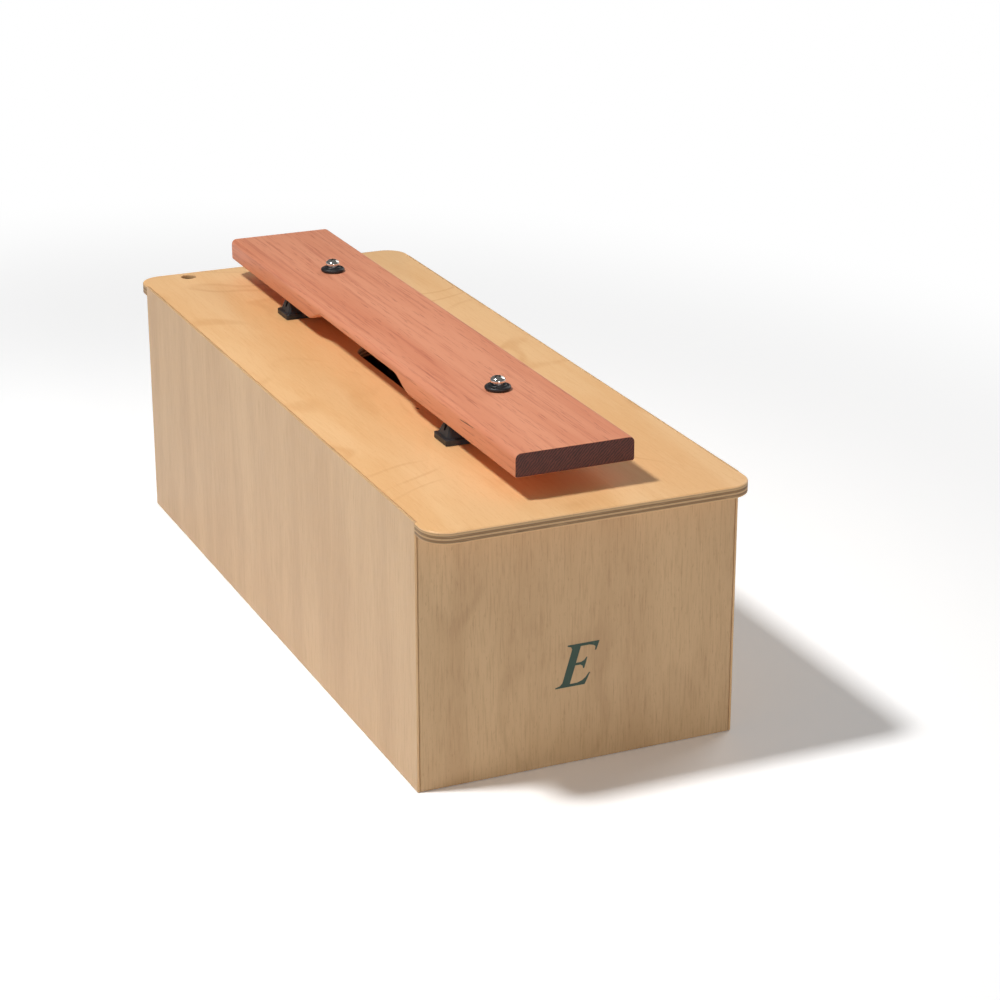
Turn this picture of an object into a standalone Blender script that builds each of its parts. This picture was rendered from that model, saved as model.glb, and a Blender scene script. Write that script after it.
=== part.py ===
"""Contrabass bar: one tuned wooden bar floating on a plywood resonator box.

Units are metres. X runs across the box, Y along it with the marked front end at -Y,
and Z up. The origin lies on the floor under the middle of the box.
"""

import math

import bmesh
import bpy

# Resonator box
BOX_WIDTH = 0.220
BOX_LENGTH = 0.552
BOX_HEIGHT = 0.180
WALL_THICKNESS = 0.008
LIP_THICKNESS = 0.0016
BASE_THICKNESS = 0.006
EDGE_EASING = 0.0004
SEAT_GAP = 0.0003
CORNER_BLOCK_WIDTH = 0.015
CORNER_BLOCK_CHAMFER = 0.009

# Lid
LID_THICKNESS = 0.008
LID_OVERHANG = 0.024
LID_CORNER_RADIUS = 0.017
LID_ROUND_OVER = 0.0012
SOUND_SLOT_LENGTH = 0.132
SOUND_SLOT_WIDTH = 0.044
MALLET_HOLE_DIAMETER = 0.012
MALLET_HOLE_FROM_EDGE = 0.038

# Sound bar
BAR_LENGTH = 0.542
BAR_WIDTH = 0.081
BAR_THICKNESS = 0.016
BAR_SET_BACK = 0.003
BAR_TOP_RADIUS = 0.004
BAR_BOTTOM_RADIUS = 0.0016
BAR_END_RADIUS = 0.001
ARCH_LENGTH = 0.198
ARCH_RAMP = 0.030
ARCH_DEPTH = 0.0084
SCREW_SPACING = 0.306

# Supports between lid and bar
SUPPORT_HEIGHT = 0.0139
SUPPORT_LENGTH = 0.082
SUPPORT_WIDTH = 0.022
SUPPORT_BASE_HEIGHT = 0.004
SUPPORT_LEDGE = 0.002
SUPPORT_LEAN = 0.0032
SUPPORT_TOP_RADIUS = 0.0015
SUPPORT_CHANNEL_WIDTH = 0.0026
SUPPORT_CHANNEL_DEPTH = 0.0068
SUPPORT_BOSS_WALL = 0.0025

# Bushes
BUSH_FLANGE_DIAMETER = 0.0176
BUSH_FLANGE_HEIGHT = 0.0026
BUSH_RING_WALL = 0.0022
BUSH_RING_HEIGHT = 0.0008
BUSH_NECK_WALL = 0.0018
BUSH_NECK_RELIEF = 0.001

# Screws, sleeves, rails and nuts
SCREW_DIAMETER = 0.005
SCREW_HEAD_DIAMETER = 0.0102
SCREW_HEAD_RIM = 0.0012
SCREW_HEAD_HEIGHT = 0.0042
SCREW_TIP_PROUD = 0.002
SCREW_TIP_CHAMFER = 0.0006
RECESS_SPAN = 0.0052
RECESS_BREADTH = 0.0011
RECESS_DEPTH = 0.0020
SLEEVE_WALL = 0.0007
FLOAT_TRAVEL = 0.0012
RAIL_WIDTH = 0.024
RAIL_HEIGHT = 0.015
NUT_FLANGE_DIAMETER = 0.018
NUT_FLANGE_HEIGHT = 0.0012
NUT_BARREL_WALL = 0.0010
NUT_BARREL_LENGTH = 0.009

ROUND_SEGMENTS = 40
ARC_STEPS = 4
RAMP_STEPS = 8

# Levels and sizes that follow from the values above
LID_UNDERSIDE = BOX_HEIGHT - LID_THICKNESS
SUPPORT_FOOT = BOX_HEIGHT + SEAT_GAP
SUPPORT_TOP = SUPPORT_FOOT + SUPPORT_HEIGHT
BAR_UNDERSIDE = SUPPORT_TOP + SEAT_GAP
BAR_TOP = BAR_UNDERSIDE + BAR_THICKNESS
BUSH_SEAT = BAR_TOP + SEAT_GAP
BUSH_RING_TOP = BUSH_SEAT + BUSH_FLANGE_HEIGHT + BUSH_RING_HEIGHT
SCREW_HEAD_SEAT = BUSH_RING_TOP + FLOAT_TRAVEL + SEAT_GAP
RAIL_TOP = LID_UNDERSIDE - SEAT_GAP
RAIL_BOTTOM = RAIL_TOP - RAIL_HEIGHT
NUT_FLANGE_BOTTOM = RAIL_BOTTOM - SEAT_GAP - NUT_FLANGE_HEIGHT
INNER_HALF_WIDTH = BOX_WIDTH / 2 - WALL_THICKNESS
INNER_HALF_LENGTH = BOX_LENGTH / 2 - WALL_THICKNESS
HOUSED_HALF_WIDTH = BOX_WIDTH / 2 - LIP_THICKNESS - SEAT_GAP
SCREW_HOLE_RADIUS = SCREW_DIAMETER / 2 + SEAT_GAP
SLEEVE_RADIUS = SCREW_HOLE_RADIUS + SLEEVE_WALL
SLEEVE_HOLE_RADIUS = SLEEVE_RADIUS + SEAT_GAP
NUT_BARREL_RADIUS = SCREW_HOLE_RADIUS + NUT_BARREL_WALL
BUSH_NECK_RADIUS = SLEEVE_HOLE_RADIUS + BUSH_NECK_WALL
BAR_HOLE_RADIUS = BUSH_NECK_RADIUS + SEAT_GAP

BIRCH_LID = ("birch_lid", (0.86, 0.60, 0.34), 0.42, 0.0)
BIRCH_WALL = ("birch_wall", (0.66, 0.45, 0.27), 0.48, 0.0)
PINE = ("pine", (0.72, 0.54, 0.33), 0.65, 0.0)
PADOUK = ("padouk", (0.62, 0.20, 0.09), 0.45, 0.0)
RUBBER = ("rubber_black", (0.02, 0.02, 0.022), 0.62, 0.0)
STEEL = ("steel_polished", (0.72, 0.72, 0.70), 0.20, 1.0)
ZINC = ("zinc_plated", (0.60, 0.61, 0.62), 0.38, 1.0)


def clear_scene():
    """Remove the objects that the scene starts with."""
    for item in list(bpy.data.objects):
        bpy.data.objects.remove(item, do_unlink=True)


def make_material(name, finish):
    """Return a material of its own for one piece."""
    _, colour, roughness, metallic = finish
    material = bpy.data.materials.new(name)
    material.use_nodes = True
    shader = material.node_tree.nodes["Principled BSDF"]
    shader.inputs["Base Color"].default_value = (*colour, 1.0)
    shader.inputs["Roughness"].default_value = roughness
    shader.inputs["Metallic"].default_value = metallic
    return material


def make_object(name, bm, finish, location=(0.0, 0.0, 0.0), smooth=False):
    """Turn a bmesh into a named object with its own material."""
    bmesh.ops.recalc_face_normals(bm, faces=bm.faces)
    mesh = bpy.data.meshes.new(name)
    bm.to_mesh(mesh)
    bm.free()
    if smooth:
        mesh.shade_smooth()
        mesh.set_sharp_from_angle(angle=math.radians(32.0))
    item = bpy.data.objects.new(name, mesh)
    item.location = location
    bpy.context.collection.objects.link(item)
    if finish is not None:
        mesh.materials.append(make_material(f"{name}_{finish[0]}", finish))
    return item


def combine(target, tool, operation):
    """Cut a tool body from a piece, or join it on, with a Boolean modifier."""
    tool.hide_render = True
    tool.display_type = "WIRE"
    modifier = target.modifiers.new(f"{operation.lower()}_{tool.name}", "BOOLEAN")
    modifier.operation = operation
    modifier.solver = "EXACT"
    modifier.object = tool
    return modifier


def ease_edges(target, width):
    """Take the sharpness off the edges of a sawn piece."""
    modifier = target.modifiers.new("eased_edges", "BEVEL")
    modifier.width = width
    modifier.segments = 1
    modifier.limit_method = "ANGLE"
    modifier.angle_limit = math.radians(50.0)


def arc(centre, radius, start_degrees, end_degrees, steps=ARC_STEPS):
    """Return the points of an arc in a plane, both ends included."""
    points = []
    for step in range(steps + 1):
        angle = math.radians(start_degrees + (end_degrees - start_degrees) * step / steps)
        x = centre[0] + radius * math.cos(angle)
        y = centre[1] + radius * math.sin(angle)
        points.append((x, y))
    return points


def loft(bm, rings):
    """Skin closed rings of equal point count and cap both ends."""
    loops = []
    for ring in rings:
        loops.append([bm.verts.new(point) for point in ring])
    count = len(loops[0])
    for lower, upper in zip(loops, loops[1:]):
        for index in range(count):
            follower = (index + 1) % count
            bm.faces.new((lower[index], lower[follower], upper[follower], upper[index]))
    bm.faces.new(list(reversed(loops[0])))
    bm.faces.new(loops[-1])


def block_mesh(low, high):
    """Return a bmesh of an upright block between two corners."""
    bm = bmesh.new()
    outline = [(low[0], low[1]), (high[0], low[1]), (high[0], high[1]), (low[0], high[1])]
    loft(bm, [[(x, y, z) for x, y in outline] for z in (low[2], high[2])])
    return bm


def cylinder_mesh(radius, bottom, top, centre=(0.0, 0.0)):
    """Return a bmesh of an upright cylinder."""
    bm = bmesh.new()
    outline = arc(centre, radius, 0.0, 360.0, ROUND_SEGMENTS)[:-1]
    loft(bm, [[(x, y, z) for x, y in outline] for z in (bottom, top)])
    return bm


def revolve(profile, segments=ROUND_SEGMENTS):
    """Spin a profile of (radius, height) points round the Z axis.

    A profile that starts on the axis also ends there; any other one is closed into a ring.
    """
    bm = bmesh.new()
    verts = [bm.verts.new((radius, 0.0, height)) for radius, height in profile]
    edges = [bm.edges.new(pair) for pair in zip(verts, verts[1:])]
    if profile[0][0] > 0.0:
        edges.append(bm.edges.new((verts[-1], verts[0])))
    bmesh.ops.spin(
        bm,
        geom=verts + edges,
        cent=(0.0, 0.0, 0.0),
        axis=(0.0, 0.0, 1.0),
        angle=math.tau,
        steps=segments,
        use_merge=True,
    )
    bmesh.ops.remove_doubles(bm, verts=bm.verts, dist=1e-6)
    bmesh.ops.dissolve_degenerate(bm, dist=1e-7, edges=bm.edges)
    return bm


def rounded_rectangle(half_x, half_y, radius, steps=2):
    """Return the outline of a rectangle with round corners, centred on the origin."""
    points = []
    corners = ((1, 1, 0.0), (-1, 1, 90.0), (-1, -1, 180.0), (1, -1, 270.0))
    for side_x, side_y, start in corners:
        centre = (side_x * (half_x - radius), side_y * (half_y - radius))
        points += arc(centre, radius, start, start + 90.0, steps)
    return points


def round_over(radius, steps=ARC_STEPS):
    """Return (inset, drop) pairs that round an edge, from its side up to its face."""
    pairs = []
    for inset, rise in arc((radius, 0.0), radius, 180.0, 90.0, steps):
        pairs.append((inset, radius - rise))
    return pairs


def side_panel(name, side):
    """Side of the box: a board whose thin outer lip covers the lid and end panels' edges."""
    outer = side * BOX_WIDTH / 2
    lip_inner = outer - side * LIP_THICKNESS
    board_inner = side * INNER_HALF_WIDTH
    board_start = outer - side * LIP_THICKNESS / 2
    end = BOX_LENGTH / 2
    board_end = INNER_HALF_LENGTH - SEAT_GAP
    board_top = LID_UNDERSIDE - SEAT_GAP
    low_x, high_x = sorted((outer, lip_inner))
    panel = make_object(name, block_mesh((low_x, -end, 0.0), (high_x, end, BOX_HEIGHT)), BIRCH_WALL)
    low_x, high_x = sorted((board_start, board_inner))
    board = make_object(
        f"{name}_board", block_mesh((low_x, -board_end, 0.0), (high_x, board_end, board_top)), None
    )
    combine(panel, board, "UNION")
    ease_edges(panel, EDGE_EASING)
    return panel


def end_panel(name, side):
    """End board of the box, set between the side panels' lips."""
    outer = side * BOX_LENGTH / 2
    inner = side * INNER_HALF_LENGTH
    low_y, high_y = sorted((outer, inner))
    top = LID_UNDERSIDE - SEAT_GAP
    low = (-HOUSED_HALF_WIDTH, low_y, 0.0)
    high = (HOUSED_HALF_WIDTH, high_y, top)
    panel = make_object(name, block_mesh(low, high), BIRCH_WALL)
    ease_edges(panel, EDGE_EASING)
    return panel


def bottom_panel():
    """Bottom of the box, set between the four walls and level with their lower edges."""
    half_x = INNER_HALF_WIDTH - SEAT_GAP
    half_y = INNER_HALF_LENGTH - SEAT_GAP
    bm = block_mesh((-half_x, -half_y, 0.0), (half_x, half_y, BASE_THICKNESS))
    panel = make_object("bottom_panel", bm, BIRCH_WALL)
    ease_edges(panel, EDGE_EASING)
    return panel


def corner_block(name, side_x, side_y):
    """Upright glue block in an inner corner, with its free corner planed off."""
    wall_x = side_x * (INNER_HALF_WIDTH - SEAT_GAP)
    wall_y = side_y * (INNER_HALF_LENGTH - SEAT_GAP)
    free_x = wall_x - side_x * CORNER_BLOCK_WIDTH
    free_y = wall_y - side_y * CORNER_BLOCK_WIDTH
    outline = [
        (wall_x, wall_y),
        (free_x, wall_y),
        (free_x, free_y + side_y * CORNER_BLOCK_CHAMFER),
        (free_x + side_x * CORNER_BLOCK_CHAMFER, free_y),
        (wall_x, free_y),
    ]
    bm = bmesh.new()
    levels = (BASE_THICKNESS + SEAT_GAP, LID_UNDERSIDE - SEAT_GAP)
    loft(bm, [[(x, y, z) for x, y in outline] for z in levels])
    return make_object(name, bm, PINE)


def lid_outline(inset):
    """Outline of the lid: narrow between the lips, with round-cornered ears past both ends.

    The inset draws in the ears' free edges only, so that they can be rounded over.
    """
    housed_y = BOX_LENGTH / 2 + SEAT_GAP
    ear_x = BOX_WIDTH / 2 - inset
    ear_y = BOX_LENGTH / 2 + LID_OVERHANG - inset
    radius = min(LID_CORNER_RADIUS, LID_OVERHANG - 2 * SEAT_GAP) - inset
    outline = []
    for side in (1, -1):
        outline.append((side * HOUSED_HALF_WIDTH, -side * housed_y))
        outline.append((side * HOUSED_HALF_WIDTH, side * housed_y))
        outline.append((side * ear_x, side * housed_y))
        start = 0.0 if side > 0 else 180.0
        centre = (ear_x - radius, ear_y - radius)
        outline += arc((side * centre[0], side * centre[1]), radius, start, start + 90.0, 8)
        outline += arc((-side * centre[0], side * centre[1]), radius, start + 90.0, start + 180.0, 8)
        outline.append((-side * ear_x, side * housed_y))
    return outline


def slot_mesh(length, width, bottom, top):
    """Return a bmesh of an upright slot with full round ends, long in Y."""
    bm = bmesh.new()
    reach = (length - width) / 2
    outline = arc((0.0, reach), width / 2, 0.0, 180.0, 16)
    outline += arc((0.0, -reach), width / 2, 180.0, 360.0, 16)
    loft(bm, [[(x, y, z) for x, y in outline] for z in (bottom, top)])
    return bm


def lid(screw_places):
    """Plywood lid with its sound slot, mallet hole and screw holes."""
    bm = bmesh.new()
    rings = [(EDGE_EASING, LID_UNDERSIDE), (0.0, LID_UNDERSIDE + EDGE_EASING)]
    for inset, drop in round_over(LID_ROUND_OVER):
        rings.append((inset, BOX_HEIGHT - drop))
    loft(bm, [[(x, y, z) for x, y in lid_outline(inset)] for inset, z in rings])
    board = make_object("lid", bm, BIRCH_LID, smooth=True)
    below = LID_UNDERSIDE - LID_THICKNESS
    above = BOX_HEIGHT + LID_THICKNESS
    slot = make_object("sound_slot_cut", slot_mesh(SOUND_SLOT_LENGTH, SOUND_SLOT_WIDTH, below, above), None)
    combine(board, slot, "DIFFERENCE")
    mallet_place = (MALLET_HOLE_FROM_EDGE - BOX_WIDTH / 2, (BOX_LENGTH + LID_OVERHANG) / 2)
    mallet_cut = cylinder_mesh(MALLET_HOLE_DIAMETER / 2, below, above, mallet_place)
    combine(board, make_object("mallet_hole_cut", mallet_cut, None), "DIFFERENCE")
    for end, place_y in screw_places.items():
        cutter = make_object(
            f"lid_screw_cut_{end}", cylinder_mesh(SCREW_HOLE_RADIUS, below, above, (0.0, place_y)), None
        )
        combine(board, cutter, "DIFFERENCE")
    return board


def lid_rail(end, place_y):
    """Cross rail under the lid, bored for the screw and, from below, for the nut's barrel."""
    half_x = INNER_HALF_WIDTH - SEAT_GAP
    low = (-half_x, -RAIL_WIDTH / 2, RAIL_BOTTOM)
    high = (half_x, RAIL_WIDTH / 2, RAIL_TOP)
    rail = make_object(f"lid_rail_{end}", block_mesh(low, high), PINE, (0.0, place_y, 0.0))
    nut_bore_top = RAIL_BOTTOM + NUT_BARREL_LENGTH + SEAT_GAP
    profile = [
        (0.0, RAIL_BOTTOM - RAIL_HEIGHT),
        (NUT_BARREL_RADIUS + SEAT_GAP, RAIL_BOTTOM - RAIL_HEIGHT),
        (NUT_BARREL_RADIUS + SEAT_GAP, nut_bore_top),
        (SCREW_HOLE_RADIUS, nut_bore_top),
        (SCREW_HOLE_RADIUS, RAIL_TOP + RAIL_HEIGHT),
        (0.0, RAIL_TOP + RAIL_HEIGHT),
    ]
    bore = make_object(f"rail_bore_cut_{end}", revolve(profile), None, (0.0, place_y, 0.0))
    combine(rail, bore, "DIFFERENCE")
    return rail


def insert_nut(end, place_y):
    """Flanged nut pressed into the rail from below."""
    barrel_top = RAIL_BOTTOM + NUT_BARREL_LENGTH
    flange_top = NUT_FLANGE_BOTTOM + NUT_FLANGE_HEIGHT
    profile = [
        (SCREW_HOLE_RADIUS, NUT_FLANGE_BOTTOM),
        (NUT_FLANGE_DIAMETER / 2, NUT_FLANGE_BOTTOM),
        (NUT_FLANGE_DIAMETER / 2, flange_top),
        (NUT_BARREL_RADIUS, flange_top),
        (NUT_BARREL_RADIUS, barrel_top),
        (SCREW_HOLE_RADIUS, barrel_top),
    ]
    return make_object(f"insert_nut_{end}", revolve(profile), ZINC, (0.0, place_y, 0.0), smooth=True)


def bar_support(end, place_y):
    """Moulded rubber rest: a base, two leaning ridges with a channel, and a boss round the sleeve."""
    base_top = SUPPORT_FOOT + SUPPORT_BASE_HEIGHT
    base_half = (SUPPORT_LENGTH / 2, SUPPORT_WIDTH / 2)
    foot_half = (base_half[0] - SUPPORT_LEDGE, base_half[1] - SUPPORT_LEDGE)
    head_half = (foot_half[0] - SUPPORT_LEAN, foot_half[1] - SUPPORT_LEAN)
    corner = SUPPORT_TOP_RADIUS
    sections = [
        (base_half[0], base_half[1], SUPPORT_FOOT),
        (base_half[0], base_half[1], base_top - SUPPORT_LEDGE / 4),
        (base_half[0] - SUPPORT_LEDGE / 4, base_half[1] - SUPPORT_LEDGE / 4, base_top),
        (foot_half[0], foot_half[1], base_top),
    ]
    for inset, drop in round_over(SUPPORT_TOP_RADIUS, 3):
        sections.append((head_half[0] - inset, head_half[1] - inset, SUPPORT_TOP - drop))
    bm = bmesh.new()
    rings = []
    for half_x, half_y, z in sections:
        rings.append([(x, y, z) for x, y in rounded_rectangle(half_x, half_y, corner)])
    loft(bm, rings)
    support = make_object(f"bar_support_{end}", bm, RUBBER, (0.0, place_y, 0.0), smooth=True)
    boss_radius = SLEEVE_HOLE_RADIUS + SUPPORT_BOSS_WALL
    channel_bottom = SUPPORT_TOP - SUPPORT_CHANNEL_DEPTH
    for side in (1, -1):
        near = side * boss_radius
        far = side * SUPPORT_LENGTH
        low_x, high_x = sorted((near, far))
        low = (low_x, -SUPPORT_CHANNEL_WIDTH / 2, channel_bottom)
        high = (high_x, SUPPORT_CHANNEL_WIDTH / 2, SUPPORT_TOP + SUPPORT_HEIGHT)
        label = "right" if side > 0 else "left"
        cutter = make_object(f"channel_cut_{end}_{label}", block_mesh(low, high), None, (0.0, place_y, 0.0))
        combine(support, cutter, "DIFFERENCE")
    bore = cylinder_mesh(SLEEVE_HOLE_RADIUS, SUPPORT_FOOT - SUPPORT_HEIGHT, SUPPORT_TOP + SUPPORT_HEIGHT)
    combine(support, make_object(f"support_bore_cut_{end}", bore, None, (0.0, place_y, 0.0)), "DIFFERENCE")
    return support


def spacer_sleeve(end, place_y):
    """Tube round the screw: it stands on the lid and carries the screw's head."""
    bottom = SUPPORT_FOOT
    top = SCREW_HEAD_SEAT - SEAT_GAP
    profile = [
        (SCREW_HOLE_RADIUS, bottom),
        (SLEEVE_RADIUS, bottom),
        (SLEEVE_RADIUS, top),
        (SCREW_HOLE_RADIUS, top),
    ]
    return make_object(f"spacer_sleeve_{end}", revolve(profile), ZINC, (0.0, place_y, 0.0), smooth=True)


def bar_screw(end, place_y):
    """Domed screw with a cross recess, from above the bush down through the nut."""
    head_radius = SCREW_HEAD_DIAMETER / 2
    shank_radius = SCREW_DIAMETER / 2
    tip = NUT_FLANGE_BOTTOM - SCREW_TIP_PROUD
    profile = [
        (0.0, tip),
        (shank_radius - SCREW_TIP_CHAMFER, tip),
        (shank_radius, tip + SCREW_TIP_CHAMFER),
        (shank_radius, SCREW_HEAD_SEAT),
        (head_radius, SCREW_HEAD_SEAT),
    ]
    dome_foot = SCREW_HEAD_SEAT + SCREW_HEAD_RIM
    dome_height = SCREW_HEAD_HEIGHT - SCREW_HEAD_RIM
    for across, up in arc((0.0, 0.0), 1.0, 0.0, 90.0, 7):
        profile.append((head_radius * max(across, 0.0), dome_foot + dome_height * up))
    screw = make_object(f"bar_screw_{end}", revolve(profile), STEEL, (0.0, place_y, 0.0), smooth=True)
    head_top = SCREW_HEAD_SEAT + SCREW_HEAD_HEIGHT
    recess = bmesh.new()
    outline = []
    reach = RECESS_SPAN / 2
    breadth = RECESS_BREADTH / 2
    for quarter in range(4):
        turn = math.radians(90.0 * quarter)
        for x, y in ((breadth, breadth), (reach, breadth), (reach, -breadth)):
            outline.append((x * math.cos(turn) + y * math.sin(turn), y * math.cos(turn) - x * math.sin(turn)))
    loft(recess, [[(x, y, z) for x, y in outline] for z in (head_top - RECESS_DEPTH, head_top + RECESS_DEPTH)])
    combine(screw, make_object(f"recess_cut_{end}", recess, None, (0.0, place_y, 0.0)), "DIFFERENCE")
    return screw


def arch_rise(along):
    """Height of the tuning arch over the bar's underside, at a distance from the bar's middle."""
    into = min(max((ARCH_LENGTH / 2 - abs(along)) / ARCH_RAMP, 0.0), 1.0)
    return ARCH_DEPTH * (1.0 - math.cos(math.pi * into)) / 2


def bar_section(along, inset):
    """Closed ring round the bar at one place along it, drawn in by an inset at the ends."""
    half = BAR_WIDTH / 2 - inset
    bottom = BAR_UNDERSIDE + arch_rise(along) + inset
    top = BAR_TOP - inset
    upper = BAR_TOP_RADIUS - inset
    lower = BAR_BOTTOM_RADIUS - inset
    points = arc((half - upper, top - upper), upper, 0.0, 90.0)
    points += arc((upper - half, top - upper), upper, 90.0, 180.0)
    points += arc((lower - half, bottom + lower), lower, 180.0, 270.0, 2)
    points += arc((half - lower, bottom + lower), lower, 270.0, 360.0, 2)
    return [(x, along, z) for x, z in points]


def sound_bar(screw_places):
    """Tuned bar: round-edged, with the arch under its middle and a hole at each node."""
    half = BAR_LENGTH / 2
    places = []
    for inset, drop in reversed(round_over(BAR_END_RADIUS, 3)):
        places.append((half - drop, inset))
    stations = [(-along, inset) for along, inset in places]
    ramp_foot = ARCH_LENGTH / 2
    ramp = [ramp_foot - ARCH_RAMP * step / RAMP_STEPS for step in range(RAMP_STEPS + 1)]
    stations += [(-along, 0.0) for along in ramp]
    stations += [(along, 0.0) for along in reversed(ramp)]
    stations += list(reversed(places))
    bm = bmesh.new()
    loft(bm, [bar_section(along, inset) for along, inset in stations])
    bar = make_object("sound_bar", bm, PADOUK, (0.0, BAR_SET_BACK, 0.0), smooth=True)
    for end, place_y in screw_places.items():
        drill = cylinder_mesh(BAR_HOLE_RADIUS, BAR_UNDERSIDE - BAR_THICKNESS, BAR_TOP + BAR_THICKNESS)
        cutter = make_object(f"node_hole_cut_{end}", drill, None, (0.0, place_y, 0.0))
        combine(bar, cutter, "DIFFERENCE")
    return bar


def bar_bush(end, place_y):
    """Rubber bush in a node hole: a round-rimmed flange, a raised ring and a neck."""
    flange_radius = BUSH_FLANGE_DIAMETER / 2
    flange_top = BUSH_SEAT + BUSH_FLANGE_HEIGHT
    ring_radius = SLEEVE_HOLE_RADIUS + BUSH_RING_WALL
    neck_bottom = BAR_UNDERSIDE + BUSH_NECK_RELIEF
    rim = BUSH_FLANGE_HEIGHT / 2
    profile = [
        (SLEEVE_HOLE_RADIUS, neck_bottom),
        (BUSH_NECK_RADIUS, neck_bottom),
        (BUSH_NECK_RADIUS, BUSH_SEAT),
    ]
    profile += arc((flange_radius - rim, BUSH_SEAT + rim), rim, -90.0, 90.0, 6)
    profile += arc((ring_radius - BUSH_RING_HEIGHT, flange_top), BUSH_RING_HEIGHT, 0.0, 90.0, 3)
    profile += [(SLEEVE_HOLE_RADIUS, BUSH_RING_TOP)]
    return make_object(f"bar_bush_{end}", revolve(profile), RUBBER, (0.0, place_y, 0.0), smooth=True)


def parent_to(parent_name, children):
    """Hang pieces on a named empty at the origin of their own motion."""
    empty = bpy.data.objects.new(parent_name, None)
    bpy.context.collection.objects.link(empty)
    for child in children:
        child.parent = empty
    return empty


def main():
    """Build the contrabass bar."""
    clear_scene()
    half_spacing = SCREW_SPACING / 2
    screw_places = {"front": BAR_SET_BACK - half_spacing, "rear": BAR_SET_BACK + half_spacing}
    box = [side_panel("side_panel_left", -1), side_panel("side_panel_right", 1)]
    box += [end_panel("end_panel_front", -1), end_panel("end_panel_rear", 1)]
    box += [bottom_panel(), lid(screw_places)]
    for end, side_y in (("front", -1), ("rear", 1)):
        for label, side_x in (("left", -1), ("right", 1)):
            box.append(corner_block(f"corner_block_{end}_{label}", side_x, side_y))
    floating = [sound_bar(screw_places)]
    for end, place_y in screw_places.items():
        box += [lid_rail(end, place_y), insert_nut(end, place_y), bar_support(end, place_y)]
        box += [spacer_sleeve(end, place_y), bar_screw(end, place_y)]
        floating.append(bar_bush(end, place_y))
    parent_to("resonator_origin", box)
    parent_to("bar_float_origin", floating)


if __name__ == "__main__":
    main()
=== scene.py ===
"""Looks of the contrabass bar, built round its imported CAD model.

Everything is in metres, in the CAD model's own frame: X across the box, Y along it with the
marked end at -Y, Z up, and the floor at Z = 0.
"""

from __future__ import annotations

import logging
import math
from dataclasses import dataclass
from enum import Enum

import bmesh
import bpy
import numpy as np
from mathutils import Euler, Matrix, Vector


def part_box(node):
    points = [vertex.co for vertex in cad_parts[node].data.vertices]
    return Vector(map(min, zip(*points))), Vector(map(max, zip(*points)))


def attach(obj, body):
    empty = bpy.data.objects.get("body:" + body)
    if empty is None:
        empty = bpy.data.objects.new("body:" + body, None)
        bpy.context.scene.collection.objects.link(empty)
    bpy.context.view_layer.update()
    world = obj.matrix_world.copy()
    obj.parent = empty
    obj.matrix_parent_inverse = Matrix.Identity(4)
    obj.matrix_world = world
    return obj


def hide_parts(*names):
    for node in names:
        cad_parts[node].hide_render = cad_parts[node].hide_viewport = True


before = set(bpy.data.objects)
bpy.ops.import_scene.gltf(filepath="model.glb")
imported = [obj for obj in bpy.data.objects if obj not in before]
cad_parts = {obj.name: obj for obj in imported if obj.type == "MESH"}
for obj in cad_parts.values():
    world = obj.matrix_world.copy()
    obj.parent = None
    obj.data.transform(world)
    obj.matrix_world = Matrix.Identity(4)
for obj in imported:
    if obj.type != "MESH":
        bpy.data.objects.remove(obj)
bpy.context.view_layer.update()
LOG = logging.getLogger("contrabass_bar")

Colour = tuple[float, float, float]
Point = tuple[float, float, float]
Socket = bpy.types.NodeSocket

SMOOTH_ANGLE = math.radians(38.0)
CUT_MARGIN = 0.01


class Grain(Enum):
    """Direction that the fibres of a wooden piece run in."""

    ALONG_X = (1.0, 0.0, 0.0)
    ALONG_Y = (0.0, 1.0, 0.0)
    ALONG_Z = (0.0, 0.0, 1.0)


class Body(Enum):
    """CAD bodies that the pieces ride on."""

    RESONATOR = "resonator"
    BAR = "bar"


def srgb(red: int, green: int, blue: int) -> Colour:
    """Turn a display colour into scene-linear light.

    Each channel c, from 0 to 1, becomes c / 12.92 up to 0.04045, and above that
    ((c + 0.055) / 1.055) to the power 2.4.

    Args:
        red: Red channel from 0 to 255.
        green: Green channel from 0 to 255.
        blue: Blue channel from 0 to 255.

    Returns:
        The colour in linear light.
    """
    channels = []
    for value in (red, green, blue):
        unit = value / 255.0
        channels.append(unit / 12.92 if unit <= 0.04045 else ((unit + 0.055) / 1.055) ** 2.4)
    return (channels[0], channels[1], channels[2])


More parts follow.
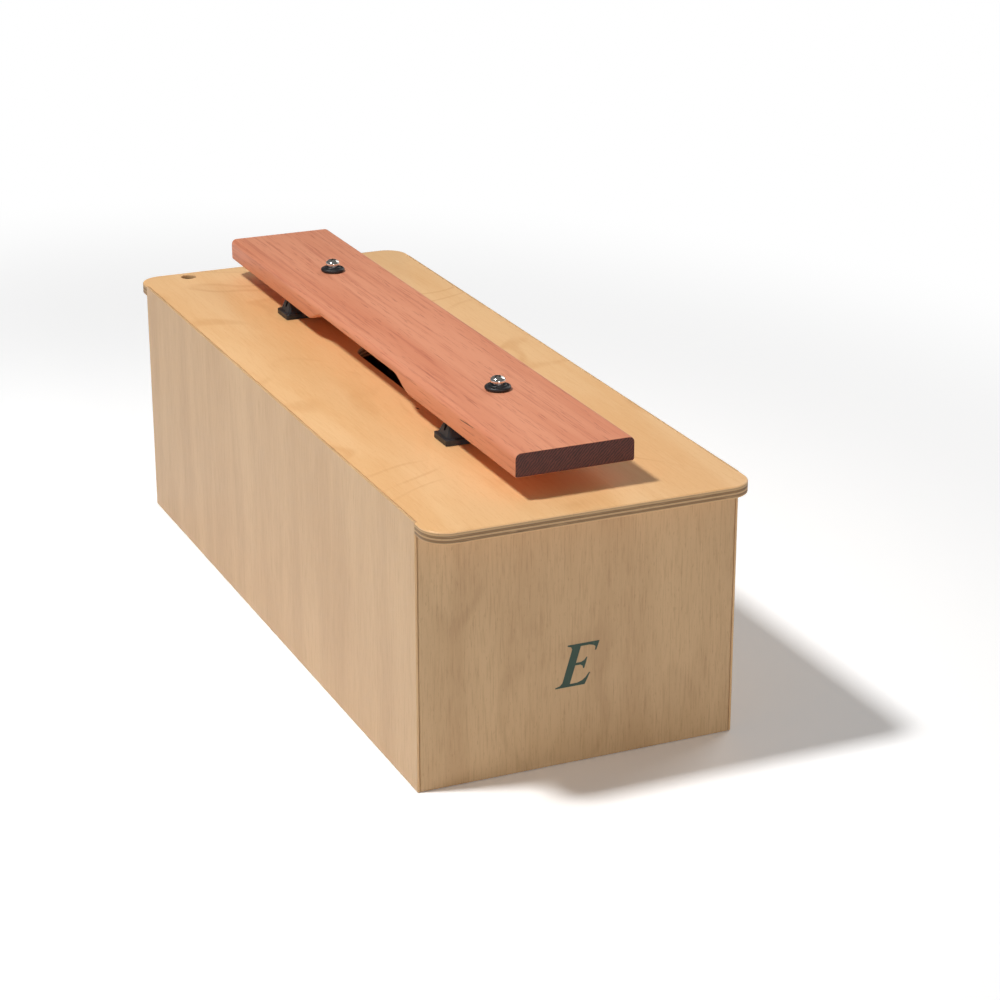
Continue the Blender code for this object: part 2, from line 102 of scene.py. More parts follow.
class NodeBuilder:
    """Small helper that lays out the nodes of one procedural material."""

    def __init__(self, name: str) -> None:
        """Start a material with an empty Principled surface.

        Args:
            name: Name of the new material.
        """
        self.material = bpy.data.materials.new(name)
        self.material.use_nodes = True
        self.tree = self.material.node_tree
        self.shader = self.tree.nodes["Principled BSDF"]
        self.coordinates = self.tree.nodes.new("ShaderNodeTexCoord").outputs["Object"]

    def link(self, source: Socket, target: Socket) -> None:
        """Join two sockets.

        Args:
            source: Output socket.
            target: Input socket.
        """
        self.tree.links.new(source, target)

    def scaled(
        self, scale: Point, turn: Point = (0.0, 0.0, 0.0), shift: Point = (0.0, 0.0, 0.0)
    ) -> Socket:
        """Return object coordinates, turned, moved and stretched.

        Args:
            scale: Factor along each axis.
            turn: Rotation about each axis in degrees.
            shift: Offset along each axis.

        Returns:
            The vector socket.
        """
        node = self.tree.nodes.new("ShaderNodeMapping")
        node.inputs["Scale"].default_value = scale
        node.inputs["Rotation"].default_value = [math.radians(angle) for angle in turn]
        node.inputs["Location"].default_value = shift
        self.link(self.coordinates, node.inputs["Vector"])
        return node.outputs["Vector"]

    def noise(
        self,
        vector: Socket,
        detail: float = 3.0,
        roughness: float = 0.5,
        distortion: float = 0.0,
    ) -> Socket:
        """Return a noise value at a vector.

        Args:
            vector: Where the noise is read, stretched to the pattern's scale.
            detail: Number of octaves.
            roughness: Weight of the fine octaves.
            distortion: How far the pattern swirls.

        Returns:
            The noise factor socket.
        """
        node = self.tree.nodes.new("ShaderNodeTexNoise")
        node.inputs["Scale"].default_value = 1.0
        node.inputs["Detail"].default_value = detail
        node.inputs["Roughness"].default_value = roughness
        node.inputs["Distortion"].default_value = distortion
        self.link(vector, node.inputs["Vector"])
        return node.outputs["Fac"]

    def rings(self, vector: Socket, scale: float, distortion: float, detail: float) -> Socket:
        """Return a wave in rings about the Z axis of a vector.

        Args:
            vector: Where the wave is read.
            scale: Number of rings to a unit.
            distortion: How far the rings wander.
            detail: Octaves of that wandering.

        Returns:
            The wave factor socket.
        """
        node = self.tree.nodes.new("ShaderNodeTexWave")
        node.wave_type = "RINGS"
        node.rings_direction = "Z"
        node.inputs["Scale"].default_value = scale
        node.inputs["Distortion"].default_value = distortion
        node.inputs["Detail"].default_value = detail
        node.inputs["Detail Scale"].default_value = 1.4
        self.link(vector, node.inputs["Vector"])
        return node.outputs["Fac"]

    def ramp(
        self, factor: Socket, stops: list[tuple[float, Colour]], smooth: bool = True
    ) -> Socket:
        """Return a colour ramp over a factor.

        Args:
            factor: Input from 0 to 1.
            stops: Places and colours, from low to high.
            smooth: Ease between stops.

        Returns:
            The colour socket.
        """
        node = self.tree.nodes.new("ShaderNodeValToRGB")
        node.color_ramp.interpolation = "EASE" if smooth else "LINEAR"
        elements = node.color_ramp.elements
        while len(elements) < len(stops):
            elements.new(0.5)
        for element, (place, colour) in zip(elements, stops):
            element.position = place
            element.color = (*colour, 1.0)
        self.link(factor, node.inputs["Fac"])
        return node.outputs["Color"]

    def window(self, factor: Socket, low: float, high: float) -> Socket:
        """Return a factor that rises from 0 at low to 1 at high.

        Args:
            factor: Input value.
            low: Value that gives 0.
            high: Value that gives 1.

        Returns:
            The clamped value socket.
        """
        node = self.tree.nodes.new("ShaderNodeMapRange")
        node.interpolation_type = "SMOOTHSTEP"
        node.inputs["From Min"].default_value = low
        node.inputs["From Max"].default_value = high
        self.link(factor, node.inputs["Value"])
        return node.outputs["Result"]

    def mix(self, factor: Socket | float, first: Socket | Colour, second: Socket | Colour) -> Socket:
        """Return a blend of two colours.

        Args:
            factor: Share of the second colour.
            first: Colour under the blend.
            second: Colour laid over it.

        Returns:
            The colour socket.
        """
        node = self.tree.nodes.new("ShaderNodeMix")
        node.data_type = "RGBA"
        for name, value in (("Factor", factor), ("A", first), ("B", second)):
            socket = next(item for item in node.inputs if item.name == name and item.enabled)
            if isinstance(value, Socket):
                self.link(value, socket)
            elif isinstance(value, tuple):
                socket.default_value = (*value, 1.0)
            else:
                socket.default_value = value
        return next(item for item in node.outputs if item.enabled)

    def lay(
        self, under: Socket, over: Colour, pattern: Socket, low: float, high: float, share: float
    ) -> Socket:
        """Lay a colour over another where a pattern is strong.

        Args:
            under: Colour below.
            over: Colour laid on.
            pattern: Value that says where.
            low: Pattern value where none is laid on.
            high: Pattern value where the full share is laid on.
            share: Largest share of the colour laid on.

        Returns:
            The colour socket.
        """
        return self.mix(self.math("MULTIPLY", self.window(pattern, low, high), share), under, over)

    def spread(self, value: Socket, gain: float, base: float) -> Socket:
        """Return a base plus a gain times a value.

        Args:
            value: Value that varies.
            gain: Factor on it.
            base: Result where the value is 0.

        Returns:
            The value socket.
        """
        total = self.math("MULTIPLY_ADD", value, gain)
        total.node.inputs[2].default_value = base
        return total

    def spot(self, centre: Point, radii: Point, turn: Point = (0.0, 0.0, 0.0)) -> Socket:
        """Return a ragged mark that is 1 inside an ellipsoid and fades to 0 just outside it.

        The mark is read at the length of the place from the centre, turned back and divided by
        the radii, with a little noise added.

        Args:
            centre: Middle of the mark in metres.
            radii: Half size of the mark along its own axes in metres.
            turn: Rotation of the mark about each axis in degrees.

        Returns:
            The mark's value socket.
        """
        place = self.tree.nodes.new("ShaderNodeMapping")
        place.vector_type = "TEXTURE"
        place.inputs["Location"].default_value = centre
        place.inputs["Rotation"].default_value = [math.radians(angle) for angle in turn]
        place.inputs["Scale"].default_value = radii
        self.link(self.coordinates, place.inputs["Vector"])
        length = self.tree.nodes.new("ShaderNodeVectorMath")
        length.operation = "LENGTH"
        self.link(place.outputs["Vector"], length.inputs[0])
        ragged = self.noise(self.scaled((700.0, 700.0, 700.0)), 3.0, 0.6)
        distance = self.math("ADD", length.outputs["Value"], self.math("MULTIPLY", ragged, 0.9))
        return self.window(distance, 1.55, 1.15)

    def math(
        self,
        operation: str,
        first: Socket,
        second: Socket | float,
    ) -> Socket:
        """Return a sum, product or other operation on two values.

        Args:
            operation: Blender's name for the operation.
            first: First value.
            second: Second value.

        Returns:
            The value socket.
        """
        node = self.tree.nodes.new("ShaderNodeMath")
        node.operation = operation
        self.link(first, node.inputs[0])
        if isinstance(second, Socket):
            self.link(second, node.inputs[1])
        else:
            node.inputs[1].default_value = second
        return node.outputs[0]

    def finish(
        self,
        colour: Socket,
        roughness: Socket | float,
        height: Socket | None = None,
        depth: float = 0.0002,
        strength: float = 0.5,
    ) -> bpy.types.Material:
        """Connect colour, roughness and bump to the surface.

        Args:
            colour: Base colour.
            roughness: Roughness value or socket.
            height: Height of the bump, or None.
            depth: Depth of the bump in metres.
            strength: Strength of the bump.

        Returns:
            The finished material.
        """
        self.link(colour, self.shader.inputs["Base Color"])
        if isinstance(roughness, Socket):
            self.link(roughness, self.shader.inputs["Roughness"])
        else:
            self.shader.inputs["Roughness"].default_value = roughness
        if height is not None:
            bump = self.tree.nodes.new("ShaderNodeBump")
            bump.inputs["Distance"].default_value = depth
            bump.inputs["Strength"].default_value = strength
            self.link(height, bump.inputs["Height"])
            self.link(bump.outputs["Normal"], self.shader.inputs["Normal"])
        return self.material


def along_grain(grain: Grain, across: float, along: float) -> Point:
    """Return mapping scales that stretch a pattern along the fibres.

    Args:
        grain: Direction of the fibres.
        across: Scale across the fibres.
        along: Scale along the fibres.

    Returns:
        The scale on each axis.
    """
    scales = [along if part else across for part in grain.value]
    return (scales[0], scales[1], scales[2])


@dataclass(frozen=True)
class Blemish:
    """A dark natural mark in a wooden face."""

    centre: Point
    radii: Point
    turn: Point
    colour: Colour


@dataclass(frozen=True)
class VeneerFinish:
    """Lacquered birch veneer: broad soft bands, thin growth contours, short fine fibres and pores."""

    name: str
    light: Colour
    dark: Colour
    streak: Colour
    grain: Grain
    fibre_share: float = 0.32
    contour_share: float = 0.16
    contour_count: float = 15.0
    contour_size: tuple[float, float] = (9.0, 3.4)
    roughness: float = 0.42
    blemishes: tuple[Blemish, ...] = ()

    def material(self) -> bpy.types.Material:
        """Make the material.

        The growth contours are thin lines where a slow noise, multiplied by the number of
        contours, passes a whole number.

        Returns:
            A procedural veneer.
        """
        build = NodeBuilder(self.name)
        broad = build.noise(build.scaled(along_grain(self.grain, 30.0, 4.0)), 3.0, 0.5, 0.6)
        colour = build.ramp(broad, [(0.30, self.dark), (0.70, self.light)])
        across, along = self.contour_size
        place = build.scaled(along_grain(self.grain, across, along), shift=(4.2, 1.7, 2.9))
        slow = build.noise(place, 2.0, 0.42, 0.5)
        growth = build.math("PINGPONG", build.math("MULTIPLY", slow, self.contour_count), 1.0)
        line = build.window(growth, 0.26, 0.02)
        patchy = build.window(build.noise(build.scaled((14.0, 14.0, 14.0)), 2.0, 0.5), 0.36, 0.62)
        contour = build.math("MULTIPLY", build.math("MULTIPLY", line, patchy), self.contour_share)
        colour = build.mix(contour, colour, self.streak)
        fibre = build.noise(build.scaled(along_grain(self.grain, 880.0, 46.0)), 3.0, 0.6, 0.1)
        colour = build.lay(colour, self.streak, fibre, 0.46, 0.72, self.fibre_share)
        place = build.scaled(along_grain(self.grain, 640.0, 60.0), shift=(2.0, 5.0, 7.0))
        bright = build.noise(place, 2.0, 0.5)
        colour = build.lay(colour, self.light, bright, 0.50, 0.74, 0.35)
        pores = build.noise(build.scaled(along_grain(self.grain, 1700.0, 210.0)), 1.0, 0.5)
        colour = build.lay(colour, self.streak, pores, 0.64, 0.72, 0.30)
        for blemish in self.blemishes:
            mark = build.spot(blemish.centre, blemish.radii, blemish.turn)
            colour = build.mix(mark, colour, blemish.colour)
        rough = build.spread(fibre, 0.12, self.roughness - 0.06)
        return build.finish(colour, rough, fibre, 0.00006, 0.35)


@dataclass(frozen=True)
class PlyEdgeFinish:
    """Sawn edge of plywood: a pale face veneer over brown and tan layers with broken glue lines."""

    name: str
    veneer: Colour
    tan: Colour
    brown: Colour
    glue: Colour
    bottom: float
    thickness: float

    def material(self) -> bpy.types.Material:
        """Make the material.

        Returns:
            A procedural ply edge whose layers follow the board's height.
        """
        build = NodeBuilder(self.name)
        split = build.tree.nodes.new("ShaderNodeSeparateXYZ")
        build.link(build.coordinates, split.inputs["Vector"])
        wander = build.noise(build.scaled((20.0, 20.0, 20.0)), 3.0, 0.6)
        level = build.math("SUBTRACT", split.outputs["Z"], self.bottom)
        level = build.math("DIVIDE", level, self.thickness)
        wander = build.math("MULTIPLY", build.math("SUBTRACT", wander, 0.5), 0.05)
        level = build.math("ADD", level, wander)
        plies = [
            (0.00, self.tan), (0.13, self.tan), (0.15, self.glue),
            (0.18, self.brown), (0.29, self.brown), (0.31, self.glue),
            (0.34, self.tan), (0.47, self.tan), (0.49, self.glue),
            (0.52, self.brown), (0.64, self.brown), (0.66, self.glue),
            (0.69, self.tan), (0.82, self.tan), (0.84, self.brown),
            (0.88, self.veneer), (1.00, self.veneer),
        ]
        colour = build.ramp(level, plies, smooth=False)
        broken = build.noise(build.scaled((60.0, 60.0, 900.0)), 3.0, 0.6)
        colour = build.lay(colour, self.tan, broken, 0.52, 0.70, 0.45)
        voids = build.noise(build.scaled((38.0, 38.0, 700.0), shift=(9.0, 3.0, 1.0)), 2.0, 0.5)
        below_veneer = build.window(level, 0.86, 0.80)
        voids = build.math("MULTIPLY", build.window(voids, 0.66, 0.72), below_veneer)
        colour = build.mix(build.math("MULTIPLY", voids, 0.85), colour, self.glue)
        pores = build.noise(build.scaled((900.0, 900.0, 500.0)), 3.0, 0.6)
        colour = build.lay(colour, self.brown, pores, 0.52, 0.72, 0.22)
        height = build.math("SUBTRACT", pores, voids)
        return build.finish(colour, 0.58, height, 0.00012, 0.45)


@dataclass(frozen=True)
class PadoukFinish:
    """Oiled red hardwood: slow colour bands, thin long streaks and open pores drawn out along it."""

    name: str
    light: Colour
    middle: Colour
    dark: Colour
    pore: Colour
    blemishes: tuple[Blemish, ...] = ()

    def material(self) -> bpy.types.Material:
        """Make the material.

        Returns:
            A procedural long-grain hardwood.
        """
        build = NodeBuilder(self.name)
        lean = (0.0, 0.0, 1.6)
        bands = build.noise(build.scaled((40.0, 2.2, 40.0), lean), 4.0, 0.55, 0.5)
        colour = build.ramp(bands, [(0.26, self.middle), (0.66, self.light)])
        streaks = build.noise(build.scaled((300.0, 6.5, 300.0), lean, (1.3, 0.2, 4.1)), 4.0, 0.62, 0.25)
        colour = build.lay(colour, self.dark, streaks, 0.50, 0.68, 0.55)
        pale = build.noise(build.scaled((420.0, 9.0, 420.0), lean, (7.7, 3.1, 0.4)), 3.0, 0.6, 0.2)
        colour = build.lay(colour, self.light, pale, 0.54, 0.72, 0.35)
        pores = build.noise(build.scaled((1100.0, 40.0, 1100.0), lean, (3.1, 0.7, 1.9)), 2.0, 0.55, 0.1)
        open_pores = build.window(pores, 0.60, 0.70)
        colour = build.mix(build.math("MULTIPLY", open_pores, 0.45), colour, self.pore)
        cracks: Socket | None = None
        for blemish in self.blemishes:
            cracks = build.spot(blemish.centre, blemish.radii, blemish.turn)
            colour = build.mix(cracks, colour, blemish.colour)
        rough = build.spread(pores, 0.22, 0.38)
        height = build.math("SUBTRACT", build.math("MULTIPLY", streaks, 0.4), open_pores)
        if cracks is not None:
            height = build.math("SUBTRACT", height, build.math("MULTIPLY", cracks, 3.0))
        return build.finish(colour, rough, height, 0.00010, 0.45)


@dataclass(frozen=True)
class EndGrainFinish:
    """End grain of the red hardwood: dark, with thin slanting growth rings and pricked pores."""

    name: str
    light: Colour
    dark: Colour

    def material(self) -> bpy.types.Material:
        """Make the material.

        Returns:
            A procedural end grain whose rings centre far below and to the right of the bar.
        """
        build = NodeBuilder(self.name)
        place = build.scaled((1.0, 1.0, 1.0), (90.0, 0.0, 0.0), (-0.30, -0.08, 0.0))
        rings = build.rings(place, 190.0, 5.0, 3.0)
        fine = build.noise(build.scaled((260.0, 20.0, 260.0)), 3.0, 0.6)
        rings = build.math("MULTIPLY", rings, 0.45)
        tone = build.math("ADD", rings, build.math("MULTIPLY", fine, 0.55))
        colour = build.ramp(tone, [(0.28, self.dark), (0.78, self.light)])
        pores = build.noise(build.scaled((1300.0, 60.0, 1300.0)), 2.0, 0.6)
        colour = build.lay(colour, self.dark, pores, 0.56, 0.70, 0.5)
        return build.finish(colour, 0.62, pores, 0.0001, 0.5)


@dataclass(frozen=True)
class RubberFinish:
    """Moulded black rubber with a dusty bloom and a fine mould texture."""

    name: str
    colour: Colour
    bloom: Colour
    roughness: float = 0.46

    def material(self) -> bpy.types.Material:
        """Make the material.

        Returns:
            A procedural rubber.
        """
        build = NodeBuilder(self.name)
        dust = build.noise(build.scaled((70.0, 70.0, 70.0)), 4.0, 0.6)
        colour = build.ramp(dust, [(0.35, self.colour), (0.80, self.bloom)])
        grit = build.noise(build.scaled((2600.0, 2600.0, 2600.0)), 2.0, 0.5)
        rough = build.spread(dust, 0.2, self.roughness - 0.1)
        return build.finish(colour, rough, grit, 0.00003, 0.25)


@dataclass(frozen=True)
class MetalFinish:
    """Plated steel with faint turning marks and small smudges."""

    name: str
    colour: Colour
    smudge: Colour
    roughness: float

    def material(self) -> bpy.types.Material:
        """Make the material.

        Returns:
            A procedural metal.
        """
        build = NodeBuilder(self.name)
        build.shader.inputs["Metallic"].default_value = 1.0
        marks = build.noise(build.scaled((240.0, 240.0, 2400.0)), 3.0, 0.6)
        colour = build.ramp(marks, [(0.30, self.smudge), (0.60, self.colour)])
        rough = build.spread(marks, 0.14, self.roughness - 0.05)
        return build.finish(colour, rough, marks, 0.00002, 0.2)


@dataclass(frozen=True)
class InkFinish:
    """Dark printing ink that lies in the veneer's fibres."""

    name: str
    colour: Colour
    worn: Colour

    def material(self) -> bpy.types.Material:
        """Make the material.

        Returns:
            A procedural ink, a little thin where the fibres stand proud.
        """
        build = NodeBuilder(self.name)
        fibre = build.noise(build.scaled((520.0, 520.0, 30.0)), 3.0, 0.6)
        colour = build.ramp(fibre, [(0.55, self.colour), (0.85, self.worn)])
        return build.finish(colour, 0.5, fibre, 0.00004, 0.3)


class Finishes:
    """Every finish of the object, each made once."""

    def __init__(self) -> None:
        """Make all the materials."""
        lid_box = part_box("lid")
        knot = Blemish(
            (-0.0288, -0.0815, 0.18), (0.0008, 0.0024, 0.004), (0.0, 0.0, 14.0), srgb(58, 34, 20)
        )
        check = Blemish(
            (-0.0405, -0.193, 0.2062), (0.003, 0.0135, 0.00032), (-3.0, 0.0, 0.0), srgb(62, 28, 20)
        )
        # The lid's birch is a brighter, more orange copy of the side birch: the extra orange is its
        # lacquer, the extra brightness is painted light on the top that faces the key light.
        self.lid_face_lacquered_and_painted_light = VeneerFinish(
            "birch_lid_face",
            srgb(250, 203, 147), srgb(243, 190, 130), srgb(222, 162, 100), Grain.ALONG_Y,
            fibre_share=0.20, contour_share=0.42, contour_count=17.0, contour_size=(8.0, 5.5),
            blemishes=(knot,),
        ).material()
        self.lid_edge = PlyEdgeFinish(
            "birch_lid_edge",
            srgb(244, 200, 148), srgb(204, 166, 120), srgb(150, 114, 76), srgb(92, 66, 42),
            lid_box[0][2], lid_box[1][2] - lid_box[0][2],
        ).material()
        self.side_face = VeneerFinish(
            "birch_side_face",
            srgb(226, 186, 138), srgb(214, 172, 124), srgb(190, 146, 100), Grain.ALONG_Z,
            contour_share=0.06,
        ).material()
        # The front panels' birch is a darker copy of the side birch: the darker tone is painted shade on
        # the faces turned away from the key light, while the stronger streaks are the panels' own grain.
        self.front_face_painted_shade = VeneerFinish(
            "birch_front_face",
            srgb(212, 175, 130), srgb(198, 160, 116), srgb(160, 120, 78), Grain.ALONG_Z,
            fibre_share=0.36, contour_share=0.22, contour_count=14.0, contour_size=(7.0, 3.2),
        ).material()
        self.inside = VeneerFinish(
            "birch_inside",
            srgb(206, 168, 124), srgb(186, 146, 100), srgb(160, 120, 78), Grain.ALONG_X,
        ).material()
        self.pine = VeneerFinish(
            "pine_batten",
            srgb(226, 190, 140), srgb(204, 160, 108), srgb(180, 128, 78), Grain.ALONG_X,
            roughness=0.6,
        ).material()
        self.bar_face = PadoukFinish(
            "padouk_face",
            srgb(232, 156, 120), srgb(220, 138, 102), srgb(192, 106, 78), srgb(160, 78, 56),
            blemishes=(check,),
        ).material()
        self.bar_end = EndGrainFinish("padouk_end", srgb(104, 48, 38), srgb(58, 22, 14)).material()
        self.rubber = RubberFinish("rubber", srgb(24, 22, 24), srgb(58, 56, 58)).material()
        self.steel = MetalFinish("nickel_plate", srgb(232, 230, 224), srgb(196, 192, 184), 0.14).material()
        self.zinc = MetalFinish("zinc_plate", srgb(200, 202, 204), srgb(168, 170, 172), 0.34).material()
        self.ink = InkFinish("dark_green_ink", srgb(34, 62, 48), srgb(70, 92, 66)).material()


def grid_faces(rings: int, count: int, closed: bool) -> np.ndarray:
    """Return the quads of a grid of rings, each with the same number of points.

    Face (i, j) joins points (i, j), (i, j+1), (i+1, j+1) and (i+1, j), with j taken round the
    ring, and the last ring joins the first where closed is true.

    Args:
        rings: Number of rings.
        count: Points in each ring.
        closed: Whether the rings themselves form a loop.

    Returns:
        An array of four indices for each face.
    """
    last = rings if closed else rings - 1
    row, column = np.meshgrid(np.arange(last), np.arange(count), indexing="ij")
    after = (column + 1) % count
    below = (row + 1) % rings
    corners = (row * count + column, row * count + after, below * count + after, below * count + column)
    return np.stack(corners, axis=-1).reshape(-1, 4)


def closed_mesh(name: str, points: np.ndarray, faces: list[list[int]]) -> bpy.types.Mesh:
    """Make a mesh whose faces all point outwards.

    Args:
        name: Name of the mesh.
        points: Array of points in metres.
        faces: Lists of point indices.

    Returns:
        The new mesh.
    """
    mesh = bpy.data.meshes.new(name)
    mesh.from_pydata(points.tolist(), [], faces)
    work = bmesh.new()
    work.from_mesh(mesh)
    bmesh.ops.recalc_face_normals(work, faces=work.faces)
    work.to_mesh(mesh)
    work.free()
    return mesh


def mesh_object(
    name: str, points: np.ndarray, faces: list[list[int]], body: Body
) -> bpy.types.Object:
    """Make a shaded mesh object at the origin that rides on a body.

    Args:
        name: Name of the piece.
        points: Array of points, in metres, in the row frame.
        faces: Lists of point indices.
        body: CAD body that the piece moves with.

    Returns:
        The new object.
    """
    mesh = closed_mesh(name, points, faces)
    mesh.shade_smooth()
    mesh.set_sharp_from_angle(angle=SMOOTH_ANGLE)
    item = bpy.data.objects.new(name, mesh)
    bpy.context.collection.objects.link(item)
    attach(item, body.value)
    return item


def skin(rings: np.ndarray) -> tuple[np.ndarray, list[list[int]]]:
    """Skin an array of rings into points and faces, with a face over the first and last ring.

    Args:
        rings: Array of shape (rings, points, 3).

    Returns:
        The points and the faces.
    """
    count = rings.shape[1]
    faces = grid_faces(rings.shape[0], count, closed=False).tolist()
    faces.append(list(range(count))[::-1])
    faces.append([(rings.shape[0] - 1) * count + index for index in range(count)])
    return rings.reshape(-1, 3), faces


def lathe(
    profile: np.ndarray, centre: tuple[float, float], steps: int = 96
) -> tuple[np.ndarray, list[list[int]]]:
    """Turn a closed profile of (radius, height) rows about an upright axis.

    Point (i, j) lies at x = cx + r_j cos(a_i), y = cy + r_j sin(a_i), z = z_j, with the angle
    a_i a whole turn times i over the number of steps.

    Args:
        profile: Array of (radius, height) rows that goes round the ring's section once.
        centre: X and Y of the axis.
        steps: Number of steps in a turn.

    Returns:
        The points and the faces.
    """
    angles = np.linspace(0.0, math.tau, steps, endpoint=False)[:, None]
    radii = np.maximum(profile[:, 0], 1e-5)[None, :]
    x = centre[0] + radii * np.cos(angles)
    y = centre[1] + radii * np.sin(angles)
    z = np.broadcast_to(profile[:, 1][None, :], x.shape)
    points = np.stack([x, y, z], axis=-1).reshape(-1, 3)
    return points, grid_faces(steps, profile.shape[0], closed=True).tolist()


def arc(centre: tuple[float, float], radius: float, start: float, end: float, steps: int) -> np.ndarray:
    """Return points along an arc.

    Point k lies at the centre plus the radius times (cos a, sin a), with the angle a going
    evenly from start to end.

    Args:
        centre: Centre of the arc.
        radius: Radius.
        start: First angle in degrees.
        end: Last angle in degrees.
        steps: Number of steps.

    Returns:
        An array of rows of two numbers.
    """
    angles = np.radians(np.linspace(start, end, steps + 1))
    return np.stack([centre[0] + radius * np.cos(angles), centre[1] + radius * np.sin(angles)], axis=-1)


def carve(target: bpy.types.Object, cutters: list[tuple[np.ndarray, list[list[int]]]]) -> None:
    """Cut shapes out of a piece for good and drop the cutters.

    Args:
        target: Piece to cut.
        cutters: Points and faces of each cutter.
    """
    tools = []
    for index, (points, faces) in enumerate(cutters):
        mesh = closed_mesh(f"{target.name}_cutter_{index}", points, faces)
        tool = bpy.data.objects.new(mesh.name, mesh)
        bpy.context.collection.objects.link(tool)
        modifier = target.modifiers.new(tool.name, "BOOLEAN")
        modifier.operation = "DIFFERENCE"
        modifier.object = tool
        tools.append(tool)
    bpy.context.view_layer.update()
    shaped = target.evaluated_get(bpy.context.evaluated_depsgraph_get())
    result = bpy.data.meshes.new_from_object(shaped)
    result.name = target.name
    target.modifiers.clear()
    target.data = result
    result.shade_smooth()
    result.set_sharp_from_angle(angle=SMOOTH_ANGLE)
    for tool in tools:
        bpy.data.objects.remove(tool, do_unlink=True)


def prism(outline: np.ndarray, bottom: float, top: float) -> tuple[np.ndarray, list[list[int]]]:
    """Return an upright prism over an outline.

    Args:
        outline: Rows of X and Y.
        bottom: Height of the lower face.
        top: Height of the upper face.

    Returns:
        The points and the faces.
    """
    low = np.column_stack([outline, np.full(len(outline), bottom)])
    high = np.column_stack([outline, np.full(len(outline), top)])
    return skin(np.stack([low, high]))


def sort_faces(item: bpy.types.Object, materials: list[bpy.types.Material], edge: np.ndarray) -> None:
    """Give an object two materials: the second one where a mask over its faces is true.

    Args:
        item: Object to finish.
        materials: Face material, then edge material.
        edge: Boolean for each face.
    """
    item.data.materials.clear()
    for material in materials:
        item.data.materials.append(material)
    item.data.polygons.foreach_set("material_index", edge.astype(np.int32))
    item.data.update()


def face_normals(mesh: bpy.types.Mesh) -> np.ndarray:
    """Return the normal of each face of a mesh.

    Args:
        mesh: Mesh to read.

    Returns:
        An array of rows of three numbers.
    """
    normals = np.empty(len(mesh.polygons) * 3)
    mesh.polygons.foreach_get("normal", normals)
    return normals.reshape(-1, 3)


def middle_of(node: str) -> tuple[float, float]:
    """Return X and Y of the middle of a CAD node's box."""
    low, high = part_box(node)
    return ((low[0] + high[0]) / 2, (low[1] + high[1]) / 2)


def dress(name: str, material: bpy.types.Material) -> bpy.types.Object:
    """Give a CAD node a material.

    Args:
        name: Name of the node.
        material: Its new material.

    Returns:
        The node.
    """
    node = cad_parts[name]
    for slot in node.material_slots:
        slot.material = material
    return node


@dataclass(frozen=True)
class ResonatorBox:
    """Walls, bottom and hidden battens of the box: CAD pieces with better finishes."""

    side_nodes: tuple[str, ...] = ("side_panel_left", "side_panel_right")
    end_nodes: tuple[str, ...] = ("end_panel_front", "end_panel_rear")
    battens: tuple[str, ...] = (
        "corner_block_front_left",
        "corner_block_front_right",
        "corner_block_rear_left",
        "corner_block_rear_right",
        "lid_rail_front",
        "lid_rail_rear",
    )
    fittings: tuple[str, ...] = (
        "insert_nut_front",
        "insert_nut_rear",
        "spacer_sleeve_front",
        "spacer_sleeve_rear",
    )

    def build(self, finishes: Finishes) -> list[bpy.types.Object]:
        """Finish the box.

        Args:
            finishes: The object's finishes.

        Returns:
            The finished nodes.
        """
        coats = (
            (self.side_nodes, finishes.side_face),
            # The end panels get the birch whose darker tone is painted shade.
            (self.end_nodes, finishes.front_face_painted_shade),
            (("bottom_panel",), finishes.inside),
            (self.battens, finishes.pine),
            (self.fittings, finishes.zinc),
        )
        return [dress(name, material) for names, material in coats for name in names]


